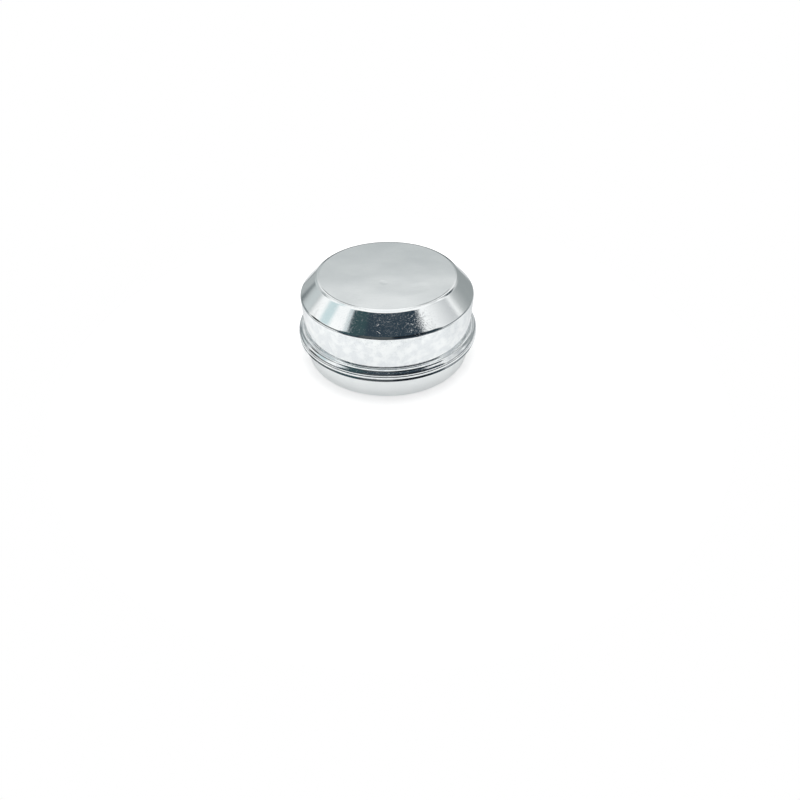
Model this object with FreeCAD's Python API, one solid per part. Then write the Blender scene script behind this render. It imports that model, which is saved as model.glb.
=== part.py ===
import FreeCAD, Part
import math
import os

# Hub grease cap: one cup pressed from sheet steel, open below.
# Millimetres. The axis is Z, and the skirt's lip lies on z = 0.
# Every size is measured on the outside of the sheet.

SHEET = 1.0

# Heights
OVERALL_HEIGHT = 26.0
SEAT_HEIGHT = 7.1
BEAD_HEIGHT = 3.5

# Diameters
TOP_DISC_DIAMETER = 40.9
SHOULDER_DIAMETER = 51.4
WALL_FOOT_DIAMETER = 51.0
BEAD_DIAMETER = 55.0
SKIRT_DIAMETER = 50.4

# Width of the level ledge on top of the bead, and the slope in degrees from there down to its rim
BEAD_LEDGE = 0.7
BEAD_SLOPE = 42.0
CHAMFER_SLOPE = 45.0

# Radii of the pressed edges
TOP_EDGE_RADIUS = 1.8
SHOULDER_RADIUS = 1.2
WALL_FOOT_RADIUS = 0.3
LEDGE_EDGE_RADIUS = 0.95
BEAD_CROWN_RADIUS = 1.5
BEAD_UNDER_RADIUS = 0.6
SEAT_CORNER_RADIUS = 0.3
LIP_RADIUS = 0.5

# The sharpest edge that the sheet is pressed to on its inside
TIGHTEST_RADIUS = 0.2

# Points closer together than this are one point
SAME_POINT = 0.001


def outer_corners():
    """Sharp corners of the outside, from the axis to the lip: radius, height and edge radius."""
    top = TOP_DISC_DIAMETER / 2
    shoulder = SHOULDER_DIAMETER / 2
    foot = WALL_FOOT_DIAMETER / 2
    rim = BEAD_DIAMETER / 2
    skirt = SKIRT_DIAMETER / 2
    shoulder_z = OVERALL_HEIGHT - (shoulder - top) * math.tan(math.radians(CHAMFER_SLOPE))
    ledge_z = SEAT_HEIGHT + BEAD_HEIGHT
    ledge_end = foot + BEAD_LEDGE
    crown_z = ledge_z - (rim - ledge_end) * math.tan(math.radians(BEAD_SLOPE))
    return [
        (0.0, OVERALL_HEIGHT, 0.0),
        (top, OVERALL_HEIGHT, TOP_EDGE_RADIUS),
        (shoulder, shoulder_z, SHOULDER_RADIUS),
        (foot, ledge_z, WALL_FOOT_RADIUS),
        (ledge_end, ledge_z, LEDGE_EDGE_RADIUS),
        (rim, crown_z, BEAD_CROWN_RADIUS),
        (rim, SEAT_HEIGHT, BEAD_UNDER_RADIUS),
        (skirt, SEAT_HEIGHT, SEAT_CORNER_RADIUS),
        (skirt, 0.0, LIP_RADIUS),
    ]


def direction(start, end):
    """Unit vector from one corner to another, as run and rise."""
    run = end[0] - start[0]
    rise = end[1] - start[1]
    length = math.hypot(run, rise)
    return run / length, rise / length


def inner_corner(before, corner, after):
    """The inside's corner behind an outside one: one sheet away from both of the runs that meet there."""
    arriving = direction(before, corner)
    leaving = direction(corner, after)
    share = SHEET / (1 + arriving[0] * leaving[0] + arriving[1] * leaving[1])
    radius = corner[0] + (arriving[1] + leaving[1]) * share
    height = corner[1] - (arriving[0] + leaving[0]) * share
    turns_inward = arriving[0] * leaving[1] < arriving[1] * leaving[0]
    if turns_inward:
        return radius, height, max(corner[2] - SHEET, TIGHTEST_RADIUS)
    return radius, height, corner[2] + SHEET


def section_corners():
    """All corners of the sheet's section: down the outside to the lip, and back up the inside."""
    outer = outer_corners()
    inner = [inner_corner(*three) for three in zip(outer, outer[1:], outer[2:])]
    crown = (0.0, OVERALL_HEIGHT - SHEET, 0.0)
    lip = (SKIRT_DIAMETER / 2 - SHEET, 0.0, 0.0)
    return outer + [lip] + inner[::-1] + [crown]


def tangent_lengths(corners):
    """What each rounded corner takes of its two runs, less where a run is too short for its corners."""
    wanted = [0.0]
    for before, corner, after in zip(corners, corners[1:], corners[2:]):
        arriving = direction(before, corner)
        leaving = direction(corner, after)
        turn = math.acos(arriving[0] * leaving[0] + arriving[1] * leaving[1])
        wanted.append(corner[2] * math.tan(turn / 2))
    wanted.append(0.0)
    room = [1.0]
    for start, end, first, second in zip(corners, corners[1:], wanted, wanted[1:]):
        run = math.dist(start[:2], end[:2])
        room.append(run / max(run, first + second))
    room.append(1.0)
    return [length * min(sides) for length, sides in zip(wanted, zip(room, room[1:]))]


def section_wire():
    """Straight runs and tangent arcs through the section's corners, closed along the axis."""
    corners = section_corners()
    points = [FreeCAD.Vector(radius, 0, height) for radius, height, edge in corners]
    lengths = tangent_lengths(corners)
    edges = []
    pen = points[0]
    for before, corner, after, length in zip(points, points[1:], points[2:], lengths[1:]):
        arriving = (corner - before).normalize()
        leaving = (after - corner).normalize()
        start = corner - arriving * length
        end = corner + leaving * length
        if pen.distanceToPoint(start) > SAME_POINT:
            edges.append(Part.LineSegment(pen, start).toShape())
        if length > SAME_POINT:
            half_turn = arriving.getAngle(leaving) / 2
            inward = (leaving - arriving).normalize()
            middle = corner + inward * length * math.tan(half_turn / 2)
            edges.append(Part.Arc(start, middle, end).toShape())
        pen = end
    edges.append(Part.LineSegment(pen, points[-1]).toShape())
    edges.append(Part.LineSegment(points[-1], points[0]).toShape())
    return Part.Wire(edges)


def grease_cap():
    """The section turned once round the axis."""
    section = Part.Face(section_wire())
    return section.revolve(FreeCAD.Vector(0, 0, 0), FreeCAD.Vector(0, 0, 1), 360)


os.makedirs("parts", exist_ok=True)
cap = grease_cap()
cap.exportStep("parts/grease_cap.step")
print("grease_cap", "valid" if cap.isValid() else "not valid")
print("volume in cubic centimetres:", round(cap.Volume / 1000, 3))
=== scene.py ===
"""A pressed, zinc-plated hub grease cap, and the pale table and soft studio that it is seen in."""
import math

import bmesh
import bpy
from mathutils import Matrix, Vector


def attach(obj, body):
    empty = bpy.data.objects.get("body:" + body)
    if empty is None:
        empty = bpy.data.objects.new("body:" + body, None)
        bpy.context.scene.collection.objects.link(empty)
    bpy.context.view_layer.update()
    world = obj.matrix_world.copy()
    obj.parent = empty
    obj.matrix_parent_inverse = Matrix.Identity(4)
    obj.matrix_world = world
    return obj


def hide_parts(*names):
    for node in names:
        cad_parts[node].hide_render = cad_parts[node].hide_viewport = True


bl_info = {
    "name": "Hub Grease Cap",
    "version": (1, 0, 0),
    "blender": (4, 5, 0),
    "location": "View3D > Sidebar > Grease Cap",
    "description": "Makes a pressed, zinc-plated grease cap and the studio round it",
    "category": "Add Mesh",
}

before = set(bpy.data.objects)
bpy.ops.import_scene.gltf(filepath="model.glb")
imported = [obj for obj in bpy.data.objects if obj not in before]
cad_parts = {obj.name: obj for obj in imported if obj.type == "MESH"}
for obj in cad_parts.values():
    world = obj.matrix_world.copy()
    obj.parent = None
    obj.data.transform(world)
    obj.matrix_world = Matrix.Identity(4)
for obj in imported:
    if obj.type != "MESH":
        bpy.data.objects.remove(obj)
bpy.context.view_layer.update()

MM = 0.001

# Steps of a turn round the axis, of each pressed edge and of each card on the table
TURN_STEPS = 192
EDGE_STEPS = 8
CARD_STEPS = 24

# The sharpest edge on the inside of the sheet, and how close points are that are one point
TIGHTEST_EDGE = 0.2 * MM
SAME_POINT = 0.001 * MM

# Shares of the lip's width from its outside: what has the bright plating, and what covers the table
BRIGHT_LIP = 0.7
COVERING_LIP = 0.75


def linear(hex_colour):
    """An sRGB colour written as #RRGGBB, as linear red, green, blue and alpha."""
    shares = [int(hex_colour[i:i + 2], 16) / 255 for i in (1, 3, 5)]
    return [s / 12.92 if s <= 0.04045 else ((s + 0.055) / 1.055) ** 2.4 for s in shares] + [1.0]


def add_node(tree, kind, *values, inputs=None, **settings):
    """Adds a node with its settings and its links.

    The values go to the inputs in use, in their order, and those in inputs to the ones they name.
    An output among them is linked, and so is a node, by its first output in use.
    """
    node = tree.nodes.new(kind)
    for name, setting in settings.items():
        setattr(node, name, setting)
    pairs = list(zip([socket for socket in node.inputs if socket.enabled], values))
    pairs += [(node.inputs[name], value) for name, value in (inputs or {}).items()]
    for socket, value in pairs:
        if isinstance(value, bpy.types.Node):
            value = next(output for output in value.outputs if output.enabled)
        if isinstance(value, bpy.types.NodeSocket):
            tree.links.new(value, socket)
        else:
            socket.default_value = value
    return node


def new_tree(owner):
    """Empties the node tree of a material or world and returns it."""
    owner.use_nodes = True
    owner.node_tree.nodes.clear()
    return owner.node_tree


def between(tree, value, low, high, low_fade, high_fade):
    """A share that is 1 from low to high and fades smoothly to 0 across each of the two."""
    rise = add_node(
        tree, "ShaderNodeMapRange", value, low - low_fade / 2, low + low_fade / 2,
        interpolation_type="SMOOTHSTEP",
    )
    return add_node(
        tree, "ShaderNodeMapRange", value, high + high_fade / 2, high - high_fade / 2, 0.0, rise,
        interpolation_type="SMOOTHSTEP",
    )


def length_property(name, description, millimetres):
    """A length, given in millimetres and kept in metres."""
    return bpy.props.FloatProperty(
        name=name, description=description, default=millimetres * MM, min=0.0, unit="LENGTH",
        precision=5,
    )


def angle_property(name, description, degrees):
    """An angle, given in degrees and kept in radians."""
    return bpy.props.FloatProperty(
        name=name, description=description, default=math.radians(degrees), subtype="ANGLE"
    )


def colour_property(name, description, hex_colour):
    """A colour, given as sRGB and kept as linear."""
    return bpy.props.FloatVectorProperty(
        name=name, description=description, default=linear(hex_colour), size=4, min=0.0, max=1.0,
        subtype="COLOR",
    )


class CapSizes(bpy.types.PropertyGroup):
    """Sizes of the cap, all on the outside of the sheet"""

    sheet: length_property("Sheet", "Thickness of the steel sheet", 1.0)
    overall_height: length_property("Overall height", "From the lip to the flat top", 26.0)
    seat_height: length_property("Seat height", "From the lip to the underside of the bead", 7.1)
    bead_height: length_property("Bead height", "From the bead's underside to its ledge", 3.5)
    top_disc_diameter: length_property("Top disc", "Diameter where top and chamfer meet", 40.9)
    shoulder_diameter: length_property("Shoulder", "Diameter where chamfer and wall meet", 51.4)
    wall_foot_diameter: length_property("Wall foot", "Diameter where wall and ledge meet", 51.0)
    bead_diameter: length_property("Bead", "Largest diameter, round the bead", 55.0)
    skirt_diameter: length_property("Skirt", "Diameter of the press-fit skirt", 50.4)
    bead_ledge: length_property("Bead ledge", "Width of the level ledge on top of the bead", 0.7)
    bead_slope: angle_property("Bead slope", "Slope from the ledge down to the rim", 42.0)
    chamfer_slope: angle_property("Chamfer slope", "Slope of the chamfer", 45.0)
    top_edge: length_property("Top edge", "Radius between top and chamfer", 1.8)
    shoulder_edge: length_property("Shoulder edge", "Radius between chamfer and wall", 1.2)
    foot_edge: length_property("Foot edge", "Hollow radius between wall and ledge", 0.3)
    ledge_edge: length_property("Ledge edge", "Radius on the outside of the ledge", 0.95)
    crown_edge: length_property("Crown edge", "Radius of the bead's crown", 1.5)
    under_edge: length_property("Under edge", "Radius below the bead's rim", 0.6)
    seat_edge: length_property("Seat edge", "Hollow radius between seat and skirt", 0.3)
    lip_edge: length_property("Lip edge", "Radius on the outside of the lip", 0.5)
    burr_edge: length_property("Burr edge", "Radius on the sheared inside of the lip", 0.12)


class CapFinish(bpy.types.PropertyGroup):
    """Colours of the cap's plating"""

    plating: colour_property("Plating", "Bright zinc plating", "#FAFDFD")
    plating_cloud: colour_property("Plating clouds", "Greyer clouds in the plating", "#EAEEF0")
    inside: colour_property("Inside", "Thin plating on the inside", "#C3CACB")
    scratch: colour_property("Scratch", "Bare metal in a fresh scratch", "#F6FAFA")


class StageLook(bpy.types.PropertyGroup):
    """The table, the softbox over it and the camera"""

    table: colour_property("Table", "White table", "#EFEFEF")
    # Colour of the painted shade on the table, which only the metal sees
    shaded_table: colour_property("Shaded table", "Greyer table in the metal", "#C4C6C8")
    table_radius: length_property("Table radius", "Radius of the round table", 100.0)
    softbox_size: length_property("Softbox size", "Side of the square softbox", 600.0)
    softbox_height: length_property("Softbox height", "From the table up to the softbox", 800.0)
    softbox_back: length_property("Softbox back", "From the cap's axis back to the softbox", 100.0)
    softbox_power: bpy.props.FloatProperty(
        name="Softbox power", description="Power of the softbox", default=1.0, min=0.0, unit="POWER"
    )
    camera_distance: length_property("Camera distance", "From the camera to its pivot", 165.0)
    camera_pivot: length_property("Camera pivot", "Height of the pivot on the cap's axis", 7.9)
    camera_elevation: angle_property(
        "Camera elevation", "Angle from the pivot up to the camera", 33.785
    )
    camera_pitch: angle_property("Camera pitch", "How far the camera looks down", 42.03)
    camera_roll: angle_property("Camera roll", "How far the camera is turned clockwise", 0.858)
    camera_lens: bpy.props.FloatProperty(
        name="Camera lens", description="Focal length on a 36 mm sensor", default=23.39, min=1.0,
        unit="CAMERA",
    )
    camera_shift: bpy.props.FloatProperty(
        name="Camera shift", description="Shift to the right, as a share of the frame's width",
        default=0.014,
    )


def outer_corners(size):
    """Sharp corners of the outside, from the axis to the lip: radius, height and edge radius."""
    top = size.top_disc_diameter / 2
    shoulder = size.shoulder_diameter / 2
    foot = size.wall_foot_diameter / 2
    rim = size.bead_diameter / 2
    skirt = size.skirt_diameter / 2
    shoulder_z = size.overall_height - (shoulder - top) * math.tan(size.chamfer_slope)
    ledge_z = size.seat_height + size.bead_height
    ledge_end = foot + size.bead_ledge
    crown_z = ledge_z - (rim - ledge_end) * math.tan(size.bead_slope)
    return [
        (0.0, size.overall_height, 0.0),
        (top, size.overall_height, size.top_edge),
        (shoulder, shoulder_z, size.shoulder_edge),
        (foot, ledge_z, size.foot_edge),
        (ledge_end, ledge_z, size.ledge_edge),
        (rim, crown_z, size.crown_edge),
        (rim, size.seat_height, size.under_edge),
        (skirt, size.seat_height, size.seat_edge),
        (skirt, 0.0, size.lip_edge),
    ]


def direction(start, end):
    """Unit vector from one corner to the next, as run and rise."""
    return (Vector(end[:2]) - Vector(start[:2])).normalized()


def inner_corner(sheet, before, corner, after):
    """The inside's corner behind an outside one, one sheet away from both runs that meet there."""
    arriving = direction(before, corner)
    leaving = direction(corner, after)
    share = sheet / (1 + arriving.dot(leaving))
    radius = corner[0] + (arriving.y + leaving.y) * share
    height = corner[1] - (arriving.x + leaving.x) * share
    turns_inward = arriving.x * leaving.y < arriving.y * leaving.x
    edge = max(corner[2] - sheet, TIGHTEST_EDGE) if turns_inward else corner[2] + sheet
    return radius, height, edge


def tangent_lengths(corners):
    """What each rounded corner takes of its two runs, less where a run is too short for both."""
    wanted = [0.0]
    for before, corner, after in zip(corners, corners[1:], corners[2:]):
        turn = direction(before, corner).angle(direction(corner, after))
        wanted.append(corner[2] * math.tan(turn / 2))
    wanted.append(0.0)
    room = [1.0]
    for start, end, first, second in zip(corners, corners[1:], wanted, wanted[1:]):
        run = math.dist(start[:2], end[:2])
        room.append(run / max(run, first + second))
    room.append(1.0)
    return [length * min(sides) for length, sides in zip(wanted, zip(room, room[1:]))]


def turned_wire(bm, corners, material_index=0):
    """Draws a wire through the corners, rounds each one and turns the wire once round the axis."""
    before = set(bm.faces)
    wire = [bm.verts.new((radius, 0, height)) for radius, height, edge in corners]
    for start, end in zip(wire, wire[1:]):
        bm.edges.new((start, end))
    for corner, length in zip(wire, tangent_lengths(corners)):
        if length > SAME_POINT:
            bmesh.ops.bevel(
                bm, geom=[corner], offset=length, offset_type="OFFSET", affect="VERTICES",
                segments=EDGE_STEPS, profile=0.5, material=-1,
            )
    loose = [edge for edge in bm.edges if not edge.link_faces]
    ends = list({vert for edge in loose for vert in edge.verts})
    bmesh.ops.spin(
        bm, geom=loose + ends, cent=(0, 0, 0), axis=(0, 0, 1), dvec=(0, 0, 0),
        angle=math.tau, steps=TURN_STEPS, use_merge=True,
    )
    for face in bm.faces:
        if face not in before:
            face.material_index = material_index


def finished_piece(bm, name, materials):
    """Turns a bmesh into a smooth object at the origin, merged and with its normals outward."""
    bmesh.ops.remove_doubles(bm, verts=bm.verts, dist=SAME_POINT)
    bmesh.ops.recalc_face_normals(bm, faces=bm.faces)
    for face in bm.faces:
        face.smooth = True
    mesh = bpy.data.meshes.new(name)
    bm.to_mesh(mesh)
    bm.free()
    for material in materials:
        mesh.materials.append(material)
    piece = bpy.data.objects.new(name, mesh)
    bpy.context.scene.collection.objects.link(piece)
    return piece


# Cloudy patterns of the bright plating: size of a grain, detail, and the noise's values where the
# share is 0 and 1. The plating's own grain is under 0.1 mm, too fine to show in the render, so the
# speckle is drawn at 0.4 mm.
MOTTLE = (2.5 * MM, 3.0, 0.35, 0.65)
CLOUDS = (9 * MM, 2.0, 0.3, 0.7)
SPECKLE = (0.4 * MM, 3.0, 0.44, 0.72)

# How much each finer layer of a noise counts
FINER_LAYERS = 0.55

# The mottling ends this far below the shoulder's sharp corner, and fades over this width there and
# at the seat. Full clouds dull the plating by this share of what full mottling does.
MOTTLE_END = 0.5 * MM
MOTTLE_FADE = 1 * MM
CLOUD_DULLNESS = 0.3

# Roughness of the clean plating, and what full dullness, speckle and scratches add to it
CLEAN_ROUGHNESS = 0.07
DULL_ROUGHNESS = 0.04
SPECKLE_ROUGHNESS = 0.14
SCRATCH_ROUGHNESS = 0.2

# A rougher patch of the chamfer: its centre, how far from there it starts and is full, and what it
# adds to the speckle's roughness
PATCH_CENTRE = Vector((7.9, -22.3, 22.7)) * MM
PATCH_REACH = 5 * MM
PATCH_CORE = 1 * MM
PATCH_ROUGHNESS = 0.17

# Orange peel: its grain, drawn as coarse as the speckle's, with its detail, its height, and what
# the patch adds to that
PEEL = (0.4 * MM, 1.0)
PEEL_HEIGHT = 0.002 * MM
PATCH_PEEL_HEIGHT = 0.018 * MM

# Height of the clouds, and the waves in the flat top: their size and detail, their height, and how
# far below the top they start and are full
CLOUD_HEIGHT = 0.01 * MM
TOP_WAVES = (10 * MM, 0.0)
TOP_WAVE_HEIGHT = 0.1 * MM
TOP_WAVE_START = 0.3 * MM
TOP_WAVE_FULL = 0.1 * MM

# Short bright scratches on the chamfer: both ends, and how far each reaches to its sides, in
# millimetres
SCRATCHES = (
    ((-2.92, -22.97, 23.29), (-2.58, -23.19, 23.12), 0.045),
    ((-2.58, -23.19, 23.12), (-2.21, -22.88, 23.46), 0.045),
    ((-2.81, -24.14, 22.14), (-1.91, -24.73, 21.64), 0.045),
    ((5.61, -24.09, 21.70), (6.41, -23.55, 22.04), 0.045),
)

# How far a scratch's burr leans up, as rise per run
SCRATCH_LEAN = 0.25

# Shallow dents in the flat top, given as the scratches are, and their depth
DENTS = (
    ((-1.3, -5.5, 26.0), (-0.9, -6.1, 26.0), 1.2),
    ((5.2, -10.4, 26.0), (9.6, -8.8, 26.0), 3.2),
)
DENT_DEPTH = 0.015 * MM

# Share of its reach where a scratch or a dent is full
LINE_CORE = 0.2

# Hairline folds of the bead: height above the seat from and to in millimetres, and how far the
# surface leans up in them, as rise per run. They fade over this width at both edges.
FOLDS = (
    ("start of the slope", 3.08, 3.3, -0.3),
    ("bright line below the crown", 2.1, 2.32, -0.55),
    ("dark line under it", 1.82, 2.02, 0.3),
    ("fold along the lower edge", 0.36, 1.26, 0.58),
)
FOLD_FADE = 0.1 * MM

# The inside's clouds: size, detail, and the roughness that they add to the clean one. Its grain,
# drawn as coarse as it needs to show: size, detail and height.
INSIDE_CLOUDS = (4 * MM, 4.0)
INSIDE_ROUGHNESS = 0.2
INSIDE_CLOUD_ROUGHNESS = 0.3
INSIDE_GRAIN = (0.5 * MM, 2.0)
INSIDE_GRAIN_HEIGHT = 0.01 * MM


def noise_inputs(place, size, detail):
    """What a noise with grains of a real size takes as its inputs."""
    return place, 1 / size, detail, FINER_LAYERS


def cloudy(tree, place, size, detail, none, full):
    """A share that rises smoothly from 0 to 1 between two values of a noise."""
    noise = add_node(tree, "ShaderNodeTexNoise", *noise_inputs(place, size, detail))
    return add_node(tree, "ShaderNodeMapRange", noise, none, full, interpolation_type="SMOOTHSTEP")


def along_lines(tree, place, lines):
    """A share that is 1 along the lines, and fades to 0 where each one's reach ends."""
    share = 0.0
    for *ends, reach in lines:
        start, end = (Vector(point) * MM for point in ends)
        length = (end - start).length
        along = (end - start) / length
        offset = add_node(tree, "ShaderNodeVectorMath", place, start, operation="SUBTRACT")
        travel = add_node(tree, "ShaderNodeVectorMath", offset, along, operation="DOT_PRODUCT")
        within = add_node(tree, "ShaderNodeClamp", travel, 0.0, length)
        nearest = add_node(tree, "ShaderNodeVectorMath", along, within, operation="SCALE")
        distance = add_node(tree, "ShaderNodeVectorMath", offset, nearest, operation="DISTANCE")
        line = add_node(
            tree, "ShaderNodeMapRange", distance, reach * MM, reach * LINE_CORE * MM,
            interpolation_type="SMOOTHSTEP",
        )
        share = add_node(tree, "ShaderNodeMath", share, line, operation="MAXIMUM")
    return share


def bright_zinc_plating(size, finish):
    """Bright electroplated zinc on drawn sheet: a soft blue-white mirror, mottled on the wall."""
    material = bpy.data.materials.new("bright_zinc_plating")
    tree = new_tree(material)
    place = add_node(tree, "ShaderNodeTexCoord").outputs["Object"]
    height = add_node(tree, "ShaderNodeSeparateXYZ", place).outputs["Z"]

    # Faint clouds lie all over, and the wall, which was drawn the furthest, is mottled
    shoulder_z = outer_corners(size)[2][1]
    on_wall = between(
        tree, height, size.seat_height, shoulder_z - MOTTLE_END, MOTTLE_FADE, MOTTLE_FADE
    )
    mottle = add_node(
        tree, "ShaderNodeMath", cloudy(tree, place, *MOTTLE), on_wall, operation="MULTIPLY"
    )
    clouds = cloudy(tree, place, *CLOUDS)
    dullness = add_node(
        tree, "ShaderNodeMath", clouds, CLOUD_DULLNESS, mottle,
        operation="MULTIPLY_ADD", use_clamp=True,
    )
    colour = add_node(
        tree, "ShaderNodeMix", dullness, finish.plating, finish.plating_cloud, data_type="RGBA"
    )

    # The mirror is softer where the plating is dull, and in its speckle, most of all in the patch
    from_patch = add_node(tree, "ShaderNodeVectorMath", place, PATCH_CENTRE, operation="DISTANCE")
    patch = add_node(
        tree, "ShaderNodeMapRange", from_patch, PATCH_REACH, PATCH_CORE,
        interpolation_type="SMOOTHSTEP",
    )
    speckle_roughness = add_node(
        tree, "ShaderNodeMath", patch, PATCH_ROUGHNESS, SPECKLE_ROUGHNESS, operation="MULTIPLY_ADD"
    )
    speckled = add_node(
        tree, "ShaderNodeMath", cloudy(tree, place, *SPECKLE), speckle_roughness, CLEAN_ROUGHNESS,
        operation="MULTIPLY_ADD",
    )
    roughness = add_node(
        tree, "ShaderNodeMath", dullness, DULL_ROUGHNESS, speckled, operation="MULTIPLY_ADD"
    )

    # The bead's hairline folds lean the surface, so they mirror another part of the studio
    normal = add_node(tree, "ShaderNodeNewGeometry").outputs["Normal"]
    for name, low, high, lean in FOLDS:
        low, high = (size.seat_height + edge * MM for edge in (low, high))
        fold = between(tree, height, low, high, FOLD_FADE, FOLD_FADE)
        normal = add_node(
            tree, "ShaderNodeVectorMath", fold, (0, 0, lean), normal,
            operation="MULTIPLY_ADD", label=name,
        )

    # The burr of a scratch leans up, so it is pale where the plating mirrors something dark
    scratches = along_lines(tree, place, SCRATCHES)
    colour = add_node(
        tree, "ShaderNodeMix", scratches, colour, finish.scratch, data_type="RGBA"
    )
    roughness = add_node(
        tree, "ShaderNodeMath", scratches, SCRATCH_ROUGHNESS, roughness, operation="MULTIPLY_ADD"
    )
    normal = add_node(
        tree, "ShaderNodeVectorMath", scratches, (0, 0, SCRATCH_LEAN), normal,
        operation="MULTIPLY_ADD",
    )
    normal = add_node(tree, "ShaderNodeVectorMath", normal, operation="NORMALIZE")

    # The relief: clouds all over, waves and dents in the flat top, and an orange peel on it all
    on_top = add_node(
        tree, "ShaderNodeMapRange", height, size.overall_height - TOP_WAVE_START,
        size.overall_height - TOP_WAVE_FULL, 0.0, TOP_WAVE_HEIGHT, interpolation_type="SMOOTHSTEP",
    )
    waves = add_node(tree, "ShaderNodeTexNoise", *noise_inputs(place, *TOP_WAVES))
    waves = add_node(tree, "ShaderNodeMath", waves, on_top, operation="MULTIPLY")
    dents = along_lines(tree, place, DENTS)
    dented = add_node(
        tree, "ShaderNodeMath", dents, -DENT_DEPTH, waves, operation="MULTIPLY_ADD"
    )
    relief = add_node(
        tree, "ShaderNodeMath", clouds, CLOUD_HEIGHT, dented, operation="MULTIPLY_ADD"
    )
    normal = add_node(
        tree, "ShaderNodeBump",
        inputs={"Height": relief, "Distance": 1.0, "Strength": 1.0, "Normal": normal},
    )
    peel = add_node(tree, "ShaderNodeTexNoise", *noise_inputs(place, *PEEL))
    peel_height = add_node(
        tree, "ShaderNodeMath", patch, PATCH_PEEL_HEIGHT, PEEL_HEIGHT, operation="MULTIPLY_ADD"
    )
    normal = add_node(
        tree, "ShaderNodeBump",
        inputs={"Height": peel, "Distance": peel_height, "Strength": 1.0, "Normal": normal},
    )
    shader = add_node(
        tree, "ShaderNodeBsdfPrincipled",
        inputs={"Base Color": colour, "Metallic": 1.0, "Roughness": roughness, "Normal": normal},
    )
    add_node(tree, "ShaderNodeOutputMaterial", shader)
    return material


def dull_zinc_plating(finish):
    """The inside's thin plating: satin and grey, as little of the bright deposit gets there."""
    material = bpy.data.materials.new("dull_zinc_plating")
    tree = new_tree(material)
    place = add_node(tree, "ShaderNodeTexCoord").outputs["Object"]
    clouds = add_node(tree, "ShaderNodeTexNoise", *noise_inputs(place, *INSIDE_CLOUDS))
    roughness = add_node(
        tree, "ShaderNodeMath", clouds, INSIDE_CLOUD_ROUGHNESS, INSIDE_ROUGHNESS,
        operation="MULTIPLY_ADD",
    )
    grain = add_node(tree, "ShaderNodeTexNoise", *noise_inputs(place, *INSIDE_GRAIN))
    normal = add_node(
        tree, "ShaderNodeBump",
        inputs={"Height": grain, "Distance": INSIDE_GRAIN_HEIGHT, "Strength": 1.0},
    )
    shader = add_node(
        tree, "ShaderNodeBsdfPrincipled",
        inputs={
            "Base Color": finish.inside, "Metallic": 1.0, "Roughness": roughness, "Normal": normal,
        },
    )
    add_node(tree, "ShaderNodeOutputMaterial", shader)
    return material


class MakeCap(bpy.types.Operator):
    """Press the cap: its section turned once round the axis, bright outside and dull inside"""

    bl_idname = "grease_cap.make_cap"
    bl_label = "Make cap"

    def execute(self, context):
        size = context.scene.grease_cap_sizes
        finish = context.scene.grease_cap_finish
        outer = outer_corners(size)
        inner = [inner_corner(size.sheet, *three) for three in zip(outer, outer[1:], outer[2:])]
        skirt = size.skirt_diameter / 2
        on_lip = (skirt - size.sheet * BRIGHT_LIP, 0.0, 0.0)
        burr = (skirt - size.sheet, 0.0, size.burr_edge)
        crown = (0.0, size.overall_height - size.sheet, 0.0)
        bm = bmesh.new()
        turned_wire(bm, outer + [on_lip])
        turned_wire(bm, [on_lip, burr] + inner[::-1] + [crown], material_index=1)
        materials = [bright_zinc_plating(size, finish), dull_zinc_plating(finish)]
        piece = finished_piece(bm, "pressed_cap", materials)
        flat_areas = piece.modifiers.new("even_flats", "WEIGHTED_NORMAL")
        flat_areas.mode = "FACE_AREA"
        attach(piece, "root")
        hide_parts("grease_cap")
        return {"FINISHED"}


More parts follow.
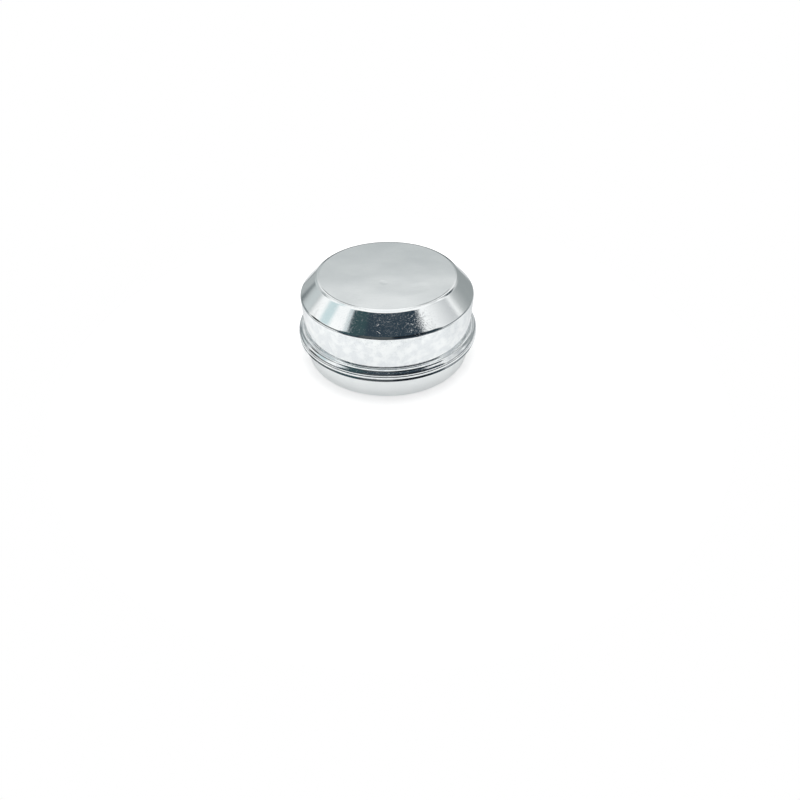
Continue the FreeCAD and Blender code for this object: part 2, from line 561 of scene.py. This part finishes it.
# What the metal mirrors round the cap: azimuth from and to and elevation from and to, both with the
# widths of their fades, in degrees, and the tone. Azimuth 0 is towards the camera and grows to its
# right, up to 180 straight behind the cap. A card that crosses that line is in two halves, which
# reach past it.
STUDIO_CARDS = (
    ("pale card on the left", (-181, -116, 1, 8), (-10, 20, 4, 9), "#C6CCCD"),
    ("lower part of that card", (-181, -116, 1, 8), (-10, 8, 4, 10), "#ABB0B1"),
    ("low grey card on the left", (-90, -58, 6, 4), (-2, 19, 6, 6), "#4F5659"),
    ("low dark card on the left", (-107, -90, 8, 6), (-6, 23, 6, 3), "#20282B"),
    ("low grey card, far left", (-140, -110, 8, 6), (-8, 5, 6, 6), "#6F7679"),
    ("low grey card on the right", (70, 112, 6, 8), (-8, 12, 6, 8), "#7A8083"),
    ("dark card in front", (-63, 57, 4, 10), (-25, 61, 1, 2), "#2D3B46"),
    ("foot of the dark card on the right", (50, 70, 8, 6), (-12, 42, 6, 3), "#2A3740"),
    ("darkest part of the dark card", (-36, 50, 10, 12), (2, 44, 6, 8), "#131A22"),
    ("teal part of the dark card", (-60, -36, 4, 10), (2, 60, 6, 6), "#334A4E"),
    ("palest part of the dark card", (-34, 6, 6, 6), (-10, 42, 6, 6), "#4C5153"),
    ("pale strip on the left", (-101, -87, 9, 7), (27, 52, 6, 4), "#C8DADD"),
    ("pale strip left of the dark card", (-68, -62, 3, 3), (30, 60, 8, 4), "#D2DADC"),
    ("grey card on the right", (84, 104, 44, 6), (8, 52, 6, 4), "#C4C6C8"),
    ("grey card behind on the left", (-181, -160, 1, 8), (10, 28, 4, 16), "#B4B9BA"),
    ("grey card behind on the right", (160, 181, 8, 1), (10, 28, 4, 16), "#B4B9BA"),
    ("low dark card behind, left half", (-181, -163, 1, 4), (-25, 13, 4, 10), "#3A4145"),
    ("low dark card behind, right half", (163, 181, 4, 1), (-25, 13, 4, 10), "#3A4145"),
    ("dark strip, back left", (-135, -119, 4, 4), (28, 78, 6, 6), "#7A8285"),
    ("dark strip, far back left", (-168, -157, 4, 4), (34, 54, 5, 6), "#5A6164"),
    ("dark strip, back right", (119, 135, 4, 4), (28, 78, 6, 6), "#4A5358"),
    ("dark strip, far back right", (157, 168, 4, 4), (34, 54, 5, 6), "#5A6164"),
    ("grey strip behind, left half", (-181, -166, 1, 4), (36, 43, 3, 3), "#A8ADAE"),
    ("grey strip behind, right half", (166, 181, 4, 1), (36, 43, 3, 3), "#A8ADAE"),
    ("card overhead", (-181, 181, 1, 1), (76, 91, 8, 1), "#F2F4F5"),
)

# The back of the studio: the azimuth opposite its middle, the angles from there between which it
# sets in on both sides, and the elevations between which its tone rises to white
BACK_OPPOSITE = -3.0
BACK_START = (105, 118)
BACK_RISE = (8, 43)
BACK_TONE = "#989D9E"

WHITE = "#FFFFFF"

# How strongly the table glows for the camera, and for the metal
CAMERA_GLOW = 0.3
METAL_GLOW = 0.07

# Painted shade on the table, which only the metal mirrors: how grey it makes the table, and the
# coordinates in millimetres between which it sets in. Aside is the distance from the middle to
# either side.
TABLE_SHADES = (
    ("in front and behind", 0.1, (("aside", 35, 0),)),
    ("on the right", 0.35, (("right", 30, 44), ("back", -30, -15))),
    ("behind", 0.7, (("back", -5, 30),)),
)

# Painted shade on the table round the cap: glowing dark and grey cards that only the metal sees,
# with inner and outer radius in millimetres, azimuth from and to in degrees, and the tone
PAINTED_SHADE_CARDS = (
    ("painted_shade_in_front", 57, 98, -55, 38, "#30363B"),
    ("painted_shade_on_the_left", 57, 98, -140, -55, "#8F9698"),
    ("painted_shade_on_the_right", 57, 98, 38, 75, "#7A8082"),
)
CARD_HEIGHT = 0.2 * MM

# How far these cards fade on each side of their ends, in degrees, and of their inner edge, and the
# width of their outer edge's fade
CARD_END_FADE = 8
CARD_SIDE_FADE = 5 * MM
CARD_RIM_FADE = 1 * MM


def azimuth_of(tree, place):
    """Degrees round the axis from the camera's side, growing to its right."""
    axes = add_node(tree, "ShaderNodeSeparateXYZ", place).outputs
    forward = add_node(tree, "ShaderNodeMath", axes["Y"], -1.0, operation="MULTIPLY")
    turn = add_node(tree, "ShaderNodeMath", axes["X"], forward, operation="ARCTAN2")
    return add_node(tree, "ShaderNodeMath", turn, operation="DEGREES")


def studio_world():
    """White for the camera and the table's light, and a studio of pale and dark cards for metal."""
    world = bpy.data.worlds.new("studio")
    bpy.context.scene.world = world
    tree = new_tree(world)
    look = add_node(tree, "ShaderNodeTexCoord").outputs["Generated"]
    azimuth = azimuth_of(tree, look)
    upward = add_node(tree, "ShaderNodeSeparateXYZ", look).outputs["Z"]
    elevation = add_node(tree, "ShaderNodeMath", upward, operation="ARCSINE")
    elevation = add_node(tree, "ShaderNodeMath", elevation, operation="DEGREES")

    # The back of the studio is darker near the table and brightens upward
    rise = add_node(
        tree, "ShaderNodeMapRange", elevation, *BACK_RISE, interpolation_type="SMOOTHSTEP"
    )
    back = add_node(tree, "ShaderNodeMix", rise, linear(BACK_TONE), linear(WHITE), data_type="RGBA")
    turned = add_node(tree, "ShaderNodeMath", azimuth, BACK_OPPOSITE, operation="SUBTRACT")
    turned = add_node(tree, "ShaderNodeMath", turned, operation="ABSOLUTE")
    behind = add_node(
        tree, "ShaderNodeMapRange", turned, *BACK_START, interpolation_type="SMOOTHSTEP"
    )
    mirrored = add_node(tree, "ShaderNodeMix", behind, linear(WHITE), back, data_type="RGBA")
    for name, around, up, tone in STUDIO_CARDS:
        card = add_node(
            tree, "ShaderNodeMath", between(tree, azimuth, *around), between(tree, elevation, *up),
            operation="MULTIPLY",
        )
        mirrored = add_node(
            tree, "ShaderNodeMix", card, mirrored, linear(tone), data_type="RGBA", label=name
        )

    in_metal = add_node(tree, "ShaderNodeLightPath").outputs["Is Glossy Ray"]
    plain = add_node(tree, "ShaderNodeBackground", linear(WHITE), 1.0)
    cards = add_node(tree, "ShaderNodeBackground", mirrored, 1.0)
    either = add_node(tree, "ShaderNodeMixShader", in_metal, plain, cards)
    add_node(tree, "ShaderNodeOutputWorld", either)


def white_table(look):
    """Matt white table, which glows just enough to be white and still keeps its shadows.

    The camera sees through it from below.
    """
    material = bpy.data.materials.new("white_table")
    tree = new_tree(material)
    path = add_node(tree, "ShaderNodeLightPath").outputs
    for_metal = add_node(
        tree, "ShaderNodeMath", path["Is Glossy Ray"], METAL_GLOW, operation="MULTIPLY"
    )
    strength = add_node(
        tree, "ShaderNodeMath", path["Is Camera Ray"], CAMERA_GLOW, for_metal,
        operation="MULTIPLY_ADD",
    )
    glow = add_node(tree, "ShaderNodeEmission", linear(WHITE), strength)

    # Painted shade: in the metal only, the table turns greyer in front, behind and on the right
    place = add_node(tree, "ShaderNodeTexCoord").outputs["Object"]
    axes = add_node(tree, "ShaderNodeSeparateXYZ", place).outputs
    aside = add_node(tree, "ShaderNodeMath", axes["X"], operation="ABSOLUTE")
    coordinates = {"right": axes["X"], "back": axes["Y"], "aside": aside}
    grey = 0.0
    for name, shade, ranges in TABLE_SHADES:
        for coordinate, start, full in ranges:
            shade = add_node(
                tree, "ShaderNodeMapRange", coordinates[coordinate], start * MM, full * MM, 0.0,
                shade, interpolation_type="SMOOTHSTEP",
            )
        grey = add_node(tree, "ShaderNodeMath", grey, shade, operation="ADD", label=name)
    grey = add_node(
        tree, "ShaderNodeMath", path["Is Glossy Ray"], grey, operation="MULTIPLY", use_clamp=True
    )
    colour = add_node(
        tree, "ShaderNodeMix", grey, look.table, look.shaded_table, data_type="RGBA"
    )
    matt = add_node(tree, "ShaderNodeBsdfDiffuse", colour)
    from_above = add_node(tree, "ShaderNodeAddShader", matt, glow)

    underside = add_node(tree, "ShaderNodeNewGeometry").outputs["Backfacing"]
    clear = add_node(tree, "ShaderNodeBsdfTransparent")
    from_below = add_node(
        tree, "ShaderNodeMath", underside, path["Is Camera Ray"], operation="MULTIPLY"
    )
    either = add_node(tree, "ShaderNodeMixShader", from_below, from_above, clear)
    add_node(tree, "ShaderNodeOutputMaterial", either)
    return material


def card_material(name, inner, outer, left, right, tone):
    """A glowing card of painted shade that shows its own tone and fades out at its edges."""
    material = bpy.data.materials.new(name)
    tree = new_tree(material)
    place = add_node(tree, "ShaderNodeTexCoord").outputs["Object"]
    azimuth = azimuth_of(tree, place)
    around = between(tree, azimuth, left, right, 2 * CARD_END_FADE, 2 * CARD_END_FADE)
    radius = add_node(tree, "ShaderNodeVectorMath", place, operation="LENGTH")
    outward = between(tree, radius, inner * MM, outer * MM, 2 * CARD_SIDE_FADE, CARD_RIM_FADE)
    share = add_node(tree, "ShaderNodeMath", around, outward, operation="MULTIPLY")
    clear = add_node(tree, "ShaderNodeBsdfTransparent")
    shade = add_node(tree, "ShaderNodeEmission", linear(tone), 1.0)
    faded = add_node(tree, "ShaderNodeMixShader", share, clear, shade)
    add_node(tree, "ShaderNodeOutputMaterial", faded)
    return material


def lay_table(size, look):
    """The table, open inside the cap's lip, so that light reaches the inside seen from below."""
    opening = size.skirt_diameter / 2 - size.sheet * COVERING_LIP
    bm = bmesh.new()
    turned_wire(bm, [(opening, 0.0, 0.0), (look.table_radius, 0.0, 0.0)])
    finished_piece(bm, "table", [white_table(look)])


def lay_card(name, inner, outer, left, right, tone):
    """A part of a ring on the table, as far as its fades reach, which only the metal sees: a card
    of painted shade.
    """
    bm = bmesh.new()
    radii = (inner * MM - CARD_SIDE_FADE, outer * MM)
    ends = [bm.verts.new((0, -radius, CARD_HEIGHT)) for radius in radii]
    edge = bm.edges.new(ends)
    first = Matrix.Rotation(math.radians(left - CARD_END_FADE), 3, "Z")
    bmesh.ops.rotate(bm, verts=ends, cent=(0, 0, 0), matrix=first)
    bmesh.ops.spin(
        bm, geom=[edge, *ends], cent=(0, 0, 0), axis=(0, 0, 1), dvec=(0, 0, 0),
        angle=math.radians(right - left + 2 * CARD_END_FADE), steps=CARD_STEPS,
    )
    card = finished_piece(bm, name, [card_material(name, inner, outer, left, right, tone)])
    card.visible_camera = False
    card.visible_diffuse = False
    card.visible_shadow = False


def hang_softbox(look):
    """A large, weak softbox over the table, which the metal doesn't mirror."""
    lamp = bpy.data.lights.new("overhead_softbox", "AREA")
    lamp.shape = "SQUARE"
    lamp.size = look.softbox_size
    lamp.energy = look.softbox_power
    softbox = bpy.data.objects.new("overhead_softbox", lamp)
    softbox.location = (0, look.softbox_back, look.softbox_height)
    softbox.visible_glossy = False
    bpy.context.scene.collection.objects.link(softbox)


def place_camera(look):
    """A wide view from close by. The pitch, the roll and the shift place the cap in the frame."""
    lens = bpy.data.cameras.new("camera")
    lens.lens = look.camera_lens
    lens.sensor_width = 36.0
    lens.shift_x = look.camera_shift
    lens.clip_start = 10 * MM
    camera = bpy.data.objects.new("camera", lens)
    pivot = Vector((0, 0, look.camera_pivot))
    back = Vector((0, -math.cos(look.camera_elevation), math.sin(look.camera_elevation)))
    pitch = Matrix.Rotation(math.radians(90) - look.camera_pitch, 4, "X")
    roll = Matrix.Rotation(-look.camera_roll, 4, "Z")
    camera.matrix_world = Matrix.Translation(pivot + back * look.camera_distance) @ pitch @ roll
    bpy.context.scene.collection.objects.link(camera)
    bpy.context.scene.camera = camera


class MakeStage(bpy.types.Operator):
    """Set up the white table, the studio's light and the camera"""

    bl_idname = "grease_cap.make_stage"
    bl_label = "Make stage"

    def execute(self, context):
        look = context.scene.grease_cap_stage
        lay_table(context.scene.grease_cap_sizes, look)
        # Cards of painted shade on the table, which only the metal sees
        for card in PAINTED_SHADE_CARDS:
            lay_card(*card)
        studio_world()
        hang_softbox(look)
        place_camera(look)
        context.scene.view_settings.view_transform = "Standard"
        return {"FINISHED"}


class CapPanel(bpy.types.Panel):
    """Lists the sizes, the colours and the steps"""

    bl_idname = "VIEW3D_PT_grease_cap"
    bl_label = "Hub Grease Cap"
    bl_space_type = "VIEW_3D"
    bl_region_type = "UI"
    bl_category = "Grease Cap"

    def draw(self, context):
        scene = context.scene
        for group, operator in (
            (scene.grease_cap_sizes, MakeCap),
            (scene.grease_cap_finish, None),
            (scene.grease_cap_stage, MakeStage),
        ):
            box = self.layout.box()
            for name in group.bl_rna.properties.keys():
                if name not in ("rna_type", "name"):
                    box.prop(group, name)
            if operator:
                box.operator(operator.bl_idname)


GROUPS = {
    "grease_cap_sizes": CapSizes,
    "grease_cap_finish": CapFinish,
    "grease_cap_stage": StageLook,
}
CLASSES = (*GROUPS.values(), MakeCap, MakeStage, CapPanel)


def register():
    for cls in CLASSES:
        bpy.utils.register_class(cls)
    for name, cls in GROUPS.items():
        setattr(bpy.types.Scene, name, bpy.props.PointerProperty(type=cls))


def unregister():
    for name in GROUPS:
        delattr(bpy.types.Scene, name)
    for cls in reversed(CLASSES):
        bpy.utils.unregister_class(cls)


def main():
    register()
    bpy.ops.grease_cap.make_cap()
    bpy.ops.grease_cap.make_stage()


if __name__ == "__main__":
    main()
